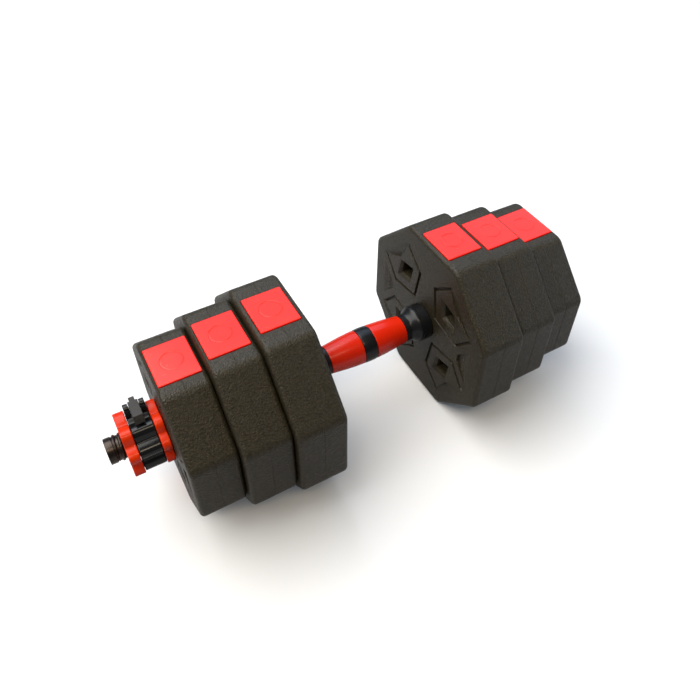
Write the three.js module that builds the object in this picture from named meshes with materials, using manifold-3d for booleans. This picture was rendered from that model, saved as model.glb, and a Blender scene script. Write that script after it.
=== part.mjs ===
// Adjustable dumbbell: a threaded bar with a two-colour grip, three octagonal filled plates on
// each end, and a split quick-release nut that clamps each stack. Millimetres, +Z up, bar along X.
// Everything is made about the bar's axis and lifted at the end, so that it rests on z = 0.

import * as THREE from 'three';
import { mergeVertices } from 'three/addons/utils/BufferGeometryUtils.js';
import Module from 'manifold-3d';

const wasm = await Module();
wasm.setup();

// ---------------------------------------------------------------- driving dimensions

const GAP = 0.3; // between pieces that touch
const ROUND = 24; // sides of the larger round surfaces
const OUTLINE_STEP = 7.5; // degrees between points of a lobed outline

const BAR = {
  halfLength: 255.6,
  coreRadius: 11.2, // under the grip
  threadRadius: 12.3, // crest of the rolled thread on both ends
  threadStart: 69.75,
  endBevel: 1.4,
};

const GRIP = {
  bandHalf: 7,
  bandRadius: 17.6,
  sleeveEnd: 42.35, // where the red sleeve meets the black neck
  sleeveRadii: [17.3, 16.9, 16.2, 15.2, 14.3],
  neckRadius: 14,
  drumRadius: 19,
  drumStart: 58,
  wallRadius: BAR.coreRadius + GAP,
};

const PLATES = [
  { name: 'inner', flats: 190, inboard: 69.7, pitch: 47.3 },
  { name: 'middle', flats: 177, inboard: 117.0, pitch: 44.4 },
  { name: 'outer', flats: 159, inboard: 161.4, pitch: 42.9 },
];
const PLATE = {
  clearance: 0.3, // left free on each face of a plate
  cornerRadius: 12,
  edgeBevel: 3,
  wall: 3,
  boreRadius: BAR.threadRadius + 0.5,
  fillerRadius: 11,
};
// Blind diamond windows in both faces, as shares of the plate's distance across flats.
const WINDOW = { centre: 0.278, radial: 0.05, tangential: 0.069, depth: 14, bevel: 2.5, flare: 1.45 };
const INSERT = { along: 36.9, across: 43.7, recess: 1.6, proud: 1.0, bevel: 0.8 };

const COLLAR = {
  start: 204.6,
  rearDisc: [204.6, 212.1],
  body: [212.4, 231.3],
  frontDisc: [231.6, 241],
  discTip: 29.8,
  discValley: 24.6,
  bodyTip: 28.3,
  bodyValley: 23.4,
  boreRadius: BAR.threadRadius + 0.6,
  sleeveRadius: 14.5,
  fixedLobes: 4,
  swingLobes: 3,
};
const WASHER = { outerRadius: 19, thickness: 1.8 };
const HINGE = { radius: 27, knuckle: 4, pin: 1.7, edge: 4.4 };
const LATCH = { pivot: [-11, 31.5], earRadius: 4.2, ear: 4.5, plate: 8.6, stem: 7.6, tail: 5, pin: 1.5 };
const SCREW = { circle: 23.4, head: 2.3, hole: 2.7, shank: 1.6, headTop: 238.5, headHeight: 2.5, tip: 208 };

const AXIS_HEIGHT = PLATES[0].flats / 2 + INSERT.proud;

const MATERIALS = {
  shell: { color: 0x2d2b28, roughness: 0.6, metalness: 0 },
  filling: { color: 0x8b8880, roughness: 0.9, metalness: 0 },
  insert: { color: 0xe8261a, roughness: 0.25, metalness: 0 },
  disc: { color: 0xf23c0a, roughness: 0.35, metalness: 0 },
  gripRed: { color: 0xc81c0a, roughness: 0.25, metalness: 0 },
  gripBlack: { color: 0x131315, roughness: 0.25, metalness: 0 },
  nutBody: { color: 0x18181a, roughness: 0.3, metalness: 0 },
  bar: { color: 0x38373a, roughness: 0.35, metalness: 0.9 },
  steel: { color: 0x77777a, roughness: 0.35, metalness: 0.9 },
  washer: { color: 0x1c1c1c, roughness: 0.85, metalness: 0 },
};

// ---------------------------------------------------------------- solids

const radians = THREE.MathUtils.degToRad;
// A section's u, v and depth become Y, Z and X, so u is to the right seen from beyond +X.
const SECTION_TO_MODEL = new THREE.Matrix4().makeBasis(
  new THREE.Vector3(0, 1, 0),
  new THREE.Vector3(0, 0, 1),
  new THREE.Vector3(1, 0, 0),
);

function solid(geometry) {
  const bare = geometry.clone();
  bare.deleteAttribute('normal');
  bare.deleteAttribute('uv');
  const merged = mergeVertices(bare, 1e-5);
  return new wasm.Manifold(new wasm.Mesh({
    numProp: 3,
    vertProperties: new Float32Array(merged.attributes.position.array),
    triVerts: new Uint32Array(merged.index.array),
  }));
}

function geometryOf(manifold) {
  const mesh = manifold.getMesh();
  const geometry = new THREE.BufferGeometry();
  geometry.setAttribute('position', new THREE.BufferAttribute(mesh.vertProperties, 3));
  geometry.setIndex(new THREE.BufferAttribute(mesh.triVerts, 1));
  return geometry;
}

function prism(shape, x0, x1, bevel = 0) {
  const geometry = new THREE.ExtrudeGeometry(shape, {
    depth: x1 - x0 - 2 * bevel,
    bevelEnabled: bevel > 0,
    bevelThickness: bevel,
    bevelSize: bevel,
    bevelOffset: -bevel,
    bevelSegments: 1,
    curveSegments: 1,
  });
  geometry.applyMatrix4(SECTION_TO_MODEL);
  geometry.translate(x0 + bevel, 0, 0);
  return geometry;
}

// A closed profile of [x, radius] points, turned about the X axis.
function turned(profile, segments = ROUND) {
  const area = profile.reduce((sum, [x, r], i) => {
    const [nextX, nextR] = profile[(i + 1) % profile.length];
    return sum + r * nextX - nextR * x;
  }, 0);
  const loop = area > 0 ? [...profile] : [...profile].reverse();
  const points = [...loop, loop[0]].map(([x, r]) => new THREE.Vector2(r, x));
  const geometry = new THREE.LatheGeometry(points, segments);
  geometry.rotateZ(-Math.PI / 2);
  return geometry;
}

function tube(outer, inner, x0, x1, segments = ROUND) {
  return turned([[x0, inner], [x0, outer], [x1, outer], [x1, inner]], segments);
}

function rod(radius, x0, x1, [u, v] = [0, 0], segments = 16) {
  const geometry = new THREE.CylinderGeometry(radius, radius, x1 - x0, segments);
  geometry.rotateZ(-Math.PI / 2);
  geometry.translate((x0 + x1) / 2, u, v);
  return geometry;
}

function block([x0, x1], [u0, u1], [v0, v1]) {
  const geometry = new THREE.BoxGeometry(x1 - x0, u1 - u0, v1 - v0);
  geometry.translate((x0 + x1) / 2, (u0 + u1) / 2, (v0 + v1) / 2);
  return geometry;
}

function polygon(points) {
  return new THREE.Shape(points.map(([u, v]) => new THREE.Vector2(u, v)));
}

const add = (first, ...others) => others.reduce((whole, other) => whole.add(solid(other)), first);
const cut = (first, ...others) => others.reduce((whole, other) => whole.subtract(solid(other)), first);

// ---------------------------------------------------------------- bar and grip

function barGeometry() {
  const { halfLength, coreRadius, threadRadius, threadStart, endBevel } = BAR;
  const right = [
    [threadStart, coreRadius],
    [threadStart, threadRadius],
    [halfLength - endBevel, threadRadius],
    [halfLength, threadRadius - endBevel],
    [halfLength, 0],
  ];
  const left = right.map(([x, r]) => [-x, r]).reverse();
  return turned([...left, ...right]);
}

function gripSleeveGeometry() {
  const start = GRIP.bandHalf + GAP / 2;
  const end = GRIP.sleeveEnd - GAP / 2;
  const last = GRIP.sleeveRadii.length - 1;
  const outside = GRIP.sleeveRadii.map((r, i) => [start + ((end - start) * i) / last, r]);
  return turned([[start, GRIP.wallRadius], ...outside, [end, GRIP.wallRadius]]);
}

function gripBandGeometry() {
  const half = GRIP.bandHalf - GAP / 2;
  const { bandRadius, wallRadius } = GRIP;
  return turned([
    [-half, wallRadius], [-half, bandRadius - 0.5], [-half + 0.5, bandRadius],
    [half - 0.5, bandRadius], [half, bandRadius - 0.5], [half, wallRadius],
  ]);
}

function stopGeometry() {
  const { neckRadius, drumRadius, drumStart, sleeveEnd, wallRadius } = GRIP;
  const start = sleeveEnd + GAP / 2;
  const end = PLATES[0].inboard - 0.2;
  return turned([
    [start, wallRadius], [start, neckRadius], [start + 5, neckRadius],
    [start + 10, neckRadius + 1.2], [drumStart - 2, drumRadius - 1.6], [drumStart, drumRadius],
    [end - 1, drumRadius], [end, drumRadius - 1], [end, wallRadius],
  ]);
}

// ---------------------------------------------------------------- plates

function octagon(flats, cornerRadius) {
  const shape = new THREE.Shape();
  const reach = (flats / 2 - cornerRadius) / Math.cos(radians(22.5));
  for (let corner = 0; corner < 8; corner += 1) {
    const middle = radians(22.5 + 45 * corner);
    const [u, v] = [reach * Math.cos(middle), reach * Math.sin(middle)];
    shape.absarc(u, v, cornerRadius, middle - radians(22.5), middle + radians(22.5), false);
  }
  shape.closePath();
  return shape;
}

function sharpOctagon(flats) {
  const reach = flats / 2 / Math.cos(radians(22.5));
  const corners = Array.from({ length: 8 }, (_, corner) => radians(22.5 + 45 * corner));
  return polygon(corners.map((angle) => [reach * Math.cos(angle), reach * Math.sin(angle)]));
}

// One diamond pocket, grown by `margin` on every side, in the face at x facing `outward`.
function windowTool(flats, face, outward, angle, margin) {
  const radial = WINDOW.radial * flats + margin;
  const tangential = WINDOW.tangential * flats + margin;
  const depth = WINDOW.depth + margin;
  const shaft = new THREE.CylinderGeometry(1, 1, depth + 1, 4);
  shaft.translate(0, 1 - (depth + 1) / 2, 0);
  const mouth = new THREE.CylinderGeometry(WINDOW.flare, 1, WINDOW.bevel, 4);
  mouth.translate(0, -WINDOW.bevel / 2 + 0.01, 0);
  for (const geometry of [shaft, mouth]) {
    geometry.scale(tangential, 1, radial);
    geometry.rotateZ((-outward * Math.PI) / 2);
    geometry.translate(face, 0, WINDOW.centre * flats);
    geometry.rotateX(radians(angle));
  }
  return [shaft, mouth];
}

function windowTools(flats, x0, x1, margin) {
  const tools = [];
  for (const angle of [45, 135, 225, 315]) {
    tools.push(...windowTool(flats, x0, -1, angle, margin), ...windowTool(flats, x1, 1, angle, margin));
  }
  return tools;
}

function plateGeometries({ flats, inboard, pitch }) {
  const x0 = inboard + PLATE.clearance;
  const x1 = inboard + pitch - PLATE.clearance;
  const middle = (x0 + x1) / 2;
  const facet = flats / 2;
  const { wall, boreRadius } = PLATE;

  const hollow = (margin) => cut(
    solid(prism(sharpOctagon(flats - 2 * (wall + margin)), x0 + wall + margin, x1 - wall - margin)),
    rod(boreRadius + wall + margin, x0, x1, [0, 0], ROUND),
    ...windowTools(flats, x0, x1, wall + margin),
  );
  const halfAlong = INSERT.along / 2 + GAP;
  const halfAcross = INSERT.across / 2 + GAP;
  const recess = (v0, v1) => block(
    [middle - halfAlong, middle + halfAlong],
    [-halfAcross, halfAcross],
    [v0, v1],
  );
  const filler = new THREE.CylinderGeometry(PLATE.fillerRadius, PLATE.fillerRadius, 2 * wall, 16);
  filler.rotateX(Math.PI / 2);
  filler.translate(middle, 0, facet - wall);

  const shell = cut(
    solid(prism(octagon(flats, PLATE.cornerRadius), x0, x1, PLATE.edgeBevel)),
    rod(boreRadius, x0 - 1, x1 + 1, [0, 0], ROUND),
    ...windowTools(flats, x0, x1, 0),
    recess(facet - INSERT.recess, facet + 1),
    recess(-facet - 1, -facet + INSERT.recess),
    filler,
  ).subtract(hollow(0));

  const insertTop = insertGeometry();
  insertTop.translate(middle, 0, facet);
  const insertBottom = insertTop.clone();
  insertBottom.rotateX(Math.PI);
  return {
    shell: geometryOf(shell),
    core: geometryOf(hollow(GAP)),
    insert_top: insertTop,
    insert_bottom: insertBottom,
  };
}

// One rim insert, with its outside face `proud` above z = 0 and its foot in the recess below.
function insertGeometry() {
  const { along, across, recess, proud, bevel } = INSERT;
  const outline = [[-1, -1], [1, -1], [1, 1], [-1, 1]].map(([x, y]) => [(x * along) / 2, (y * across) / 2]);
  const geometry = new THREE.ExtrudeGeometry(polygon(outline), {
    depth: recess - GAP + proud - 2 * bevel,
    bevelThickness: bevel,
    bevelSize: bevel,
    bevelOffset: -bevel,
    bevelSegments: 1,
  });
  geometry.translate(0, 0, -recess + GAP + bevel);
  return geometry;
}

// ---------------------------------------------------------------- split nut

// Lobed outline: small lobes on the fixed half (u > 0), larger ones on the swinging half.
function lobedOutline(tip, valley) {
  const points = [];
  for (let degrees = 0; degrees < 360; degrees += OUTLINE_STEP) {
    const lobes = degrees < 180 ? COLLAR.fixedLobes : COLLAR.swingLobes;
    const wave = (1 - Math.cos(radians(degrees * 2 * lobes))) / 2;
    const r = valley + (tip - valley) * wave ** 0.7;
    points.push([r * Math.sin(radians(degrees)), r * Math.cos(radians(degrees))]);
  }
  return polygon(points.reverse());
}

function halfSpace(side) {
  const range = side === 'fixed' ? [GAP / 2, 60] : [-60, -GAP / 2];
  return solid(block([COLLAR.start - 10, COLLAR.frontDisc[1] + 10], range, [-60, 60]));
}

function discGeometry(side, [x0, x1], isFront) {
  let disc = cut(
    solid(prism(lobedOutline(COLLAR.discTip, COLLAR.discValley), x0, x1)),
    rod(COLLAR.sleeveRadius + GAP, x0 - 1, x1 + 1, [0, 0], ROUND),
  );
  if (!isFront) {
    disc = cut(disc, rod(WASHER.outerRadius + GAP, x0 - 1, x0 + WASHER.thickness + GAP, [0, 0], ROUND));
  }
  if (side === 'fixed') {
    const holes = screwCentres().flatMap((centre) => (isFront
      ? [
        rod(SCREW.hole, SCREW.headTop - SCREW.headHeight - GAP, x1 + 1, centre, 12),
        rod(SCREW.shank + GAP, x0 - 1, x1 - 1, centre, 10),
      ]
      : [rod(SCREW.shank + GAP, SCREW.tip - GAP, x1 + 1, centre, 10)]));
    disc = cut(disc, ...holes);
  }
  return geometryOf(disc.intersect(halfSpace(side)));
}

function screwCentres() {
  return [22.5, 67.5, 112.5, 157.5].map((degrees) => {
    const angle = radians(degrees);
    return [SCREW.circle * Math.sin(angle), SCREW.circle * Math.cos(angle)];
  });
}

function knuckleRanges() {
  const [x0, x1] = COLLAR.body;
  const { edge } = HINGE;
  return {
    fixed: [[x0 + 0.2, x0 + edge], [x1 - edge, x1 - 0.2]],
    swing: [[x0 + edge + GAP, x1 - edge - GAP]],
  };
}

function earRanges() {
  const [x0, x1] = COLLAR.body;
  return [[x0 + 0.2, x0 + 0.2 + LATCH.ear], [x1 - 0.2 - LATCH.ear, x1 - 0.2]];
}

function nutBodyGeometry(side) {
  const [x0, x1] = COLLAR.body;
  const hingeAxis = [0, -HINGE.radius];
  const ranges = knuckleRanges();
  const ownKnuckles = side === 'fixed' ? ranges.fixed : ranges.swing;
  const otherKnuckles = side === 'fixed' ? ranges.swing : ranges.fixed;
  const sign = side === 'fixed' ? 1 : -1;
  const sleeveStart = COLLAR.rearDisc[0] + WASHER.thickness + 2 * GAP;
  const sleeveEnd = COLLAR.frontDisc[1] - 2 * GAP;

  let body = add(
    solid(prism(lobedOutline(COLLAR.bodyTip, COLLAR.bodyValley), x0, x1)),
    rod(COLLAR.sleeveRadius, sleeveStart, sleeveEnd, [0, 0], ROUND),
  ).intersect(halfSpace(side));
  const web = [sign * GAP / 2, sign * 6].sort((a, b) => a - b);
  body = add(body, block([x0, x1], web, [-HINGE.radius, -HINGE.radius + 7]));
  body = cut(body, ...otherKnuckles.map(([a, b]) => rod(HINGE.knuckle + GAP, a - GAP, b + GAP, hingeAxis)));
  body = add(body, ...ownKnuckles.map(([a, b]) => rod(HINGE.knuckle, a, b, hingeAxis)));
  if (side === 'swing') {
    const [pu, pv] = LATCH.pivot;
    const foot = polygon([
      [pu - LATCH.earRadius, pv], [pu - 7, pv - 9.5], [pu + 7, pv - 8.5], [pu + LATCH.earRadius, pv],
    ]);
    for (const [a, b] of earRanges()) {
      body = add(body, prism(foot, a, b), rod(LATCH.earRadius, a, b, LATCH.pivot));
    }
    body = cut(body, rod(LATCH.pin + GAP, x0 - 1, x1 + 1, LATCH.pivot, 12));
  } else {
    const holes = screwCentres().map((centre) => rod(SCREW.shank + GAP, x0 - 1, x1 + 1, centre, 10));
    body = cut(body, ...holes);
  }
  return geometryOf(cut(
    body,
    rod(COLLAR.boreRadius, COLLAR.start, COLLAR.frontDisc[1] + 1, [0, 0], ROUND),
    rod(HINGE.pin + GAP, x0 - 1, x1 + 1, hingeAxis, 12),
  ));
}

// The latch's plate runs from a thumb tail over the seam and slopes down to the fixed half.
function latchGeometry() {
  const middle = (COLLAR.body[0] + COLLAR.body[1]) / 2;
  const across = (width) => [middle - width / 2, middle + width / 2];
  const plate = polygon([
    [-12, 38.2], [-12, 35.6], [-7, 34], [2.2, 32.7], [6.7, 29.1], [9, 29.9], [3.3, 34.9],
  ]);
  const tail = polygon([[-15.4, 38.9], [-16, 37.8], [-13.2, 34.8], [-8, 34.4], [-8, 37.3]]);
  const stem = polygon([[-14.2, 31.5], [-7.8, 31.5], [-6.4, 35], [-13, 36]]);
  const whole = add(
    solid(prism(plate, ...across(LATCH.plate))),
    prism(tail, ...across(LATCH.tail)),
    prism(stem, ...across(LATCH.stem)),
    rod(3.3, ...across(LATCH.stem), LATCH.pivot),
  );
  return geometryOf(cut(whole, rod(LATCH.pin + GAP, ...across(LATCH.plate + 2), LATCH.pivot, 12)));
}

function screwGeometry([u, v]) {
  const { head, shank, headTop, headHeight, tip } = SCREW;
  const neck = headTop - headHeight;
  const profile = [[tip, 0], [tip, shank], [neck, shank], [neck, head], [headTop, head], [headTop, 0]];
  const geometry = turned(profile, 8);
  geometry.translate(0, u, v);
  return geometry;
}

function collarPieces() {
  const [x0, x1] = COLLAR.body;
  const { start, rearDisc, frontDisc } = COLLAR;
  const pieces = {
    washer: [tube(WASHER.outerRadius, COLLAR.boreRadius, start, start + WASHER.thickness), 'washer'],
    fixed_rear_disc: [discGeometry('fixed', rearDisc, false), 'disc'],
    fixed_body: [nutBodyGeometry('fixed'), 'nutBody'],
    fixed_front_disc: [discGeometry('fixed', frontDisc, true), 'disc'],
    swing_rear_disc: [discGeometry('swing', rearDisc, false), 'disc'],
    swing_body: [nutBodyGeometry('swing'), 'nutBody'],
    swing_front_disc: [discGeometry('swing', frontDisc, true), 'disc'],
    hinge_pin: [rod(HINGE.pin, x0 + 0.4, x1 - 0.4, [0, -HINGE.radius], 12), 'steel'],
    latch_lever: [latchGeometry(), 'steel'],
    latch_pin: [rod(LATCH.pin, x0 + 0.4, x1 - 0.4, LATCH.pivot, 12), 'steel'],
  };
  screwCentres().forEach((centre, index) => {
    pieces[`screw_${index + 1}`] = [screwGeometry(centre), 'steel'];
  });
  return pieces;
}

// ---------------------------------------------------------------- assembly

function named(name, geometry, material) {
  geometry.computeVertexNormals();
  const mesh = new THREE.Mesh(geometry, new THREE.MeshStandardMaterial(MATERIALS[material]));
  mesh.name = name;
  return mesh;
}

const PLATE_MATERIALS = { shell: 'shell', core: 'filling', insert_top: 'insert', insert_bottom: 'insert' };

// One end of the dumbbell. The left end is the right end turned half round the vertical.
function end(side, parts) {
  const group = new THREE.Group();
  group.rotation.z = side === 'left' ? Math.PI : 0;
  group.add(named(`grip_sleeve_${side}`, parts.sleeve.clone(), 'gripRed'));
  group.add(named(`stop_flange_${side}`, parts.stop.clone(), 'gripBlack'));
  for (const [size, geometries] of Object.entries(parts.plates)) {
    for (const [piece, geometry] of Object.entries(geometries)) {
      group.add(named(`plate_${side}_${size}_${piece}`, geometry.clone(), PLATE_MATERIALS[piece]));
    }
  }
  for (const [piece, [geometry, material]] of Object.entries(parts.collar)) {
    group.add(named(`collar_${side}_${piece}`, geometry.clone(), material));
  }
  return group;
}

const parts = {
  sleeve: gripSleeveGeometry(),
  stop: stopGeometry(),
  plates: Object.fromEntries(PLATES.map((plate) => [plate.name, plateGeometries(plate)])),
  collar: collarPieces(),
};

const dumbbell = new THREE.Group();
dumbbell.position.z = AXIS_HEIGHT;
dumbbell.add(named('bar', barGeometry(), 'bar'));
dumbbell.add(named('grip_band', gripBandGeometry(), 'gripBlack'));
dumbbell.add(end('left', parts), end('right', parts));

const model = new THREE.Group();
model.add(dumbbell);

export default model;
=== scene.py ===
"""Adjustable dumbbell: the fine surfaces, materials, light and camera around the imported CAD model.

Shapes are worked out in millimetres from the bar's axis: x outboard along the bar, u to the right
seen from outside and v up. END[side] carries them into the frame, which is in metres, so the left
end is the right end turned half round the vertical.
"""

import math

import bmesh
import bpy
from mathutils import Matrix, Vector
from mathutils.geometry import delaunay_2d_cdt

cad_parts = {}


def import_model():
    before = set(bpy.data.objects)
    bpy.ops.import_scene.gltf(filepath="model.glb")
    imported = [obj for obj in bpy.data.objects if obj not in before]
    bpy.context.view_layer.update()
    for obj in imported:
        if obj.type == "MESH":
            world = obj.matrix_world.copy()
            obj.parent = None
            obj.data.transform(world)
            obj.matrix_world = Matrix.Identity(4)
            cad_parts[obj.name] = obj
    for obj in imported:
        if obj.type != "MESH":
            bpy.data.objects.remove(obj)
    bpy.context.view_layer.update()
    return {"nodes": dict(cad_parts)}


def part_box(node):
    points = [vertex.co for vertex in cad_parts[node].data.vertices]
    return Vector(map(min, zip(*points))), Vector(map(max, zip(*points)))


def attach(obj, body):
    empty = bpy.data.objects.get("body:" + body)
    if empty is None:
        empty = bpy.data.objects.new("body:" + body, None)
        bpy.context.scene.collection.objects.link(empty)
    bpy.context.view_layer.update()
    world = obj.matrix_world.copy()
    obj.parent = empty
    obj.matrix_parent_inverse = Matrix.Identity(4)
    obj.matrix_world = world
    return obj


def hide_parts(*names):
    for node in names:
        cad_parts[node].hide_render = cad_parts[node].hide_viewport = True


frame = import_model()

MM = 0.001
SIDES = ("left", "right")
SIZES = ("inner", "middle", "outer")
BAR_LOW, BAR_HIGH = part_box("bar")
AXIS_HEIGHT = (BAR_LOW.z + BAR_HIGH.z) / 2
END = {
    side: Matrix.Translation((0, 0, AXIS_HEIGHT)) @ Matrix.Rotation(turn, 4, "Z") @ Matrix.Scale(MM, 4)
    for side, turn in (("left", math.pi), ("right", 0.0))
}


def span(node, axis=0):
    """Where a node of the right end starts and stops along x, u or v, in millimetres from the bar's axis."""
    low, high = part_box(node)
    middle = (0, 0, AXIS_HEIGHT)[axis]
    return (low[axis] - middle) / MM, (high[axis] - middle) / MM


# ---------------------------------------------------------------- outlines


def angles(start, stop, steps):
    return [start + (stop - start) * i / steps for i in range(steps + 1)]


def circle(radius, points=48, centre=(0, 0)):
    turn = [2 * math.pi * i / points for i in range(points)]
    return [(centre[0] + radius * math.cos(a), centre[1] + radius * math.sin(a)) for a in turn]


def rounded(corners, radius, steps=3):
    """A closed outline through the corners, with an arc in place of each one."""
    outline = []
    for i, corner in enumerate(corners):
        here = Vector(corner)
        back = (Vector(corners[i - 1]) - here).normalized()
        ahead = (Vector(corners[(i + 1) % len(corners)]) - here).normalized()
        half = back.angle(ahead) / 2
        centre = here + (back + ahead).normalized() * radius / math.sin(half)
        spoke = here + back * radius / math.tan(half) - centre
        turn = math.copysign(math.pi - 2 * half, back.x * ahead.y - back.y * ahead.x)
        for angle in angles(0, -turn, steps):
            point = centre + Matrix.Rotation(angle, 2) @ spoke
            outline.append((point.x, point.y))
    return outline


def area(loop):
    return sum(a[0] * b[1] - b[0] * a[1] for a, b in zip(loop, loop[1:] + loop[:1])) / 2


def offset(loop, distance):
    """The closed outline grown by distance, or shrunk where it is negative."""
    sign = math.copysign(1, area(loop))
    grown = []
    for i, point in enumerate(loop):
        here = Vector(point[:2])
        before = (here - Vector(loop[i - 1][:2])).normalized()
        after = (Vector(loop[(i + 1) % len(loop)][:2]) - here).normalized()
        first = Vector((before.y, -before.x)) * sign
        second = Vector((after.y, -after.x)) * sign
        moved = here + (first + second) * distance / (1 + first.dot(second))
        grown.append((moved.x, moved.y))
    return grown


def inside(point, loops):
    """Whether a point is in the material between an outline and its holes."""
    x, y = point
    crossings = 0
    for loop in loops:
        for (ax, ay), (bx, by) in zip(loop, loop[1:] + loop[:1]):
            if (ay > y) != (by > y) and x < ax + (y - ay) * (bx - ax) / (by - ay):
                crossings += 1
    return crossings % 2 == 1


def at_depth(loop, depth):
    return [(p[0], p[1], depth) for p in loop]


LIP = 0.35  # radius of the rounded edge where a wall meets the face
LIP_STEPS = 3
WALL_DRAFT = 0.3


def lip_loops(outline, sign):
    """The lip of a wall but for its foot, rounded inward (-1) or outward (1) of the outline."""
    turns = angles(0, math.pi / 2, LIP_STEPS)[:-1]
    return [at_depth(offset(outline, sign * LIP * math.sin(a)), LIP * (1 - math.cos(a))) for a in turns]


def wall(outline, depth):
    """Loops that go down a pocket's wall, from its outline on the face to its floor."""
    foot = [at_depth(offset(outline, -LIP), LIP), at_depth(offset(outline, -LIP - WALL_DRAFT), depth)]
    return lip_loops(outline, -1) + foot


# ---------------------------------------------------------------- meshes

WELD_DISTANCE = 1e-3
CDT_TOLERANCE = 1e-4
LEVEL_DEPTH = 0.01  # a face no deeper than this counts as part of the flat


class Surface:
    """The points and faces of one mesh, in millimetres. Points that meet are welded at the end."""

    def __init__(self):
        self.mesh = bmesh.new()

    def band(self, first, second, kind=0):
        """Faces between two closed rows of as many points."""
        rows = [[self.mesh.verts.new(p) for p in row] for row in (first, second)]
        for i in range(len(first)):
            j = (i + 1) % len(first)
            face = self.mesh.faces.new((rows[0][i], rows[0][j], rows[1][j], rows[1][i]))
            face.material_index = kind

    def rows(self, rows, kind=0):
        for first, second in zip(rows, rows[1:]):
            self.band(first, second, kind)

    def relief(self, x, outward, outline, holes=(), loops=(), flat=0, sunk=0):
        """The face at x of a flat piece, pressed in along loops of (u, v, depth) points."""
        every = [at_depth(loop, 0) for loop in (outline, *holes)] + list(loops)
        points = [p for loop in every for p in loop]
        edges = []
        for loop in every:
            start = len(edges)
            edges += [(start + i, start + (i + 1) % len(loop)) for i in range(len(loop))]
        flat_points = [Vector(p[:2]) for p in points]
        placed, _, faces, sources, _, _ = delaunay_2d_cdt(flat_points, edges, [], 0, CDT_TOLERANCE)
        depths = [points[source[0]][2] for source in sources]
        verts = [self.mesh.verts.new((x - outward * d, p.x, p.y)) for p, d in zip(placed, depths)]
        for face in faces:
            middle = sum((placed[i] for i in face), Vector((0, 0))) / len(face)
            if inside(middle, (outline, *holes)):
                level = max(abs(depths[i]) for i in face) < LEVEL_DEPTH
                self.mesh.faces.new([verts[i] for i in face]).material_index = flat if level else sunk

    def done(self, name):
        bmesh.ops.remove_doubles(self.mesh, verts=self.mesh.verts, dist=WELD_DISTANCE)
        bmesh.ops.recalc_face_normals(self.mesh, faces=self.mesh.faces)
        mesh = bpy.data.meshes.new(name)
        self.mesh.to_mesh(mesh)
        self.mesh.free()
        return mesh


EDGE_STEPS = 4  # faces across a rounded edge


def edge_profile(x0, x1, radius, middle=()):
    """(inset, x) pairs over the edge of a flat piece, from the face at x0 to the one at x1."""
    turns = [(1 - math.sin(a), 1 - math.cos(a)) for a in angles(0, math.pi / 2, EDGE_STEPS)]
    start = [(radius * inset, x0 + radius * along) for inset, along in turns]
    stop = [(radius * inset, x1 - radius * along) for inset, along in reversed(turns)]
    return start + list(middle) + stop


def slab(name, outline, x0, x1, edge=1.0, holes=(), hole_edge=0.5, **options):
    """A flat piece between x0 and x1. Options: middle (extra rim steps), loops, x0_loops, kinds."""
    rim_kind, edge_kind, flat, sunk = options.get("kinds", (0, 0, 0, 0))
    surface = Surface()
    rims = [(outline, -1, edge, options.get("middle", ()))]
    rims += [(hole, 1, hole_edge, ()) for hole in holes]
    ends = []
    for loop, sign, radius, middle in rims:
        rows = [
            [(x, u, v) for u, v in offset(loop, sign * inset)]
            for inset, x in edge_profile(x0, x1, radius, middle=middle)
        ]
        for kind, part in ((edge_kind, rows[:EDGE_STEPS + 1]), (rim_kind, rows[EDGE_STEPS:-EDGE_STEPS]),
                           (edge_kind, rows[-EDGE_STEPS - 1:])):
            surface.rows(part, kind)
        ends.append(offset(loop, sign * radius))
    for x, outward, key in ((x0, -1, "x0_loops"), (x1, 1, "loops")):
        surface.relief(x, outward, ends[0], ends[1:], options.get(key, ()), flat, sunk)
    return surface.done(name)


def turned(name, profile, segments=64):
    """A closed profile of (x, radius) points turned about the bar's axis."""
    surface = Surface()
    ring = [2 * math.pi * i / segments for i in range(segments)]
    loop = [*profile, profile[0]]
    surface.rows([[(x, r * math.sin(a), r * math.cos(a)) for a in ring] for x, r in loop])
    return surface.done(name)


def rod(name, x0, x1, radius, centre=(0, 0), edge=0.3, points=24):
    return slab(name, circle(radius, points, centre), x0, x1, edge)


def combined(mesh, *others):
    """Joins, cuts or keeps the overlap of closed meshes: others are (operation, mesh) pairs."""
    base = bpy.data.objects.new("base", mesh)
    bpy.context.scene.collection.objects.link(base)
    tools = []
    for operation, other in others:
        tool = bpy.data.objects.new("tool", other)
        bpy.context.scene.collection.objects.link(tool)
        modifier = base.modifiers.new("combine", "BOOLEAN")
        modifier.operation = operation
        modifier.object = tool
        modifier.solver = "EXACT"
        tools.append(tool)
    result = bpy.data.meshes.new_from_object(base.evaluated_get(bpy.context.evaluated_depsgraph_get()))
    for used in (base, *tools):
        bpy.data.objects.remove(used)
    return result


SMOOTH_DEGREES = 32  # edges that turn more than this stay sharp
LARGE_FACE_WEIGHT = 80


def piece(name, mesh, materials, body, replaces, matrix):
    """Shows a mesh as a piece that rides on a body and stands for CAD nodes."""
    own = mesh.copy()
    own.name = name
    own.transform(matrix)
    own.materials.clear()
    for material in materials:
        own.materials.append(material)
    own.shade_smooth()
    own.set_sharp_from_angle(angle=math.radians(SMOOTH_DEGREES))
    shown = bpy.data.objects.new(name, own)
    bpy.context.scene.collection.objects.link(shown)
    weighted = shown.modifiers.new("weighted", "WEIGHTED_NORMAL")
    weighted.keep_sharp = True
    weighted.weight = LARGE_FACE_WEIGHT
    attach(shown, body)
    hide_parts(*replaces)


# ---------------------------------------------------------------- materials


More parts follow.
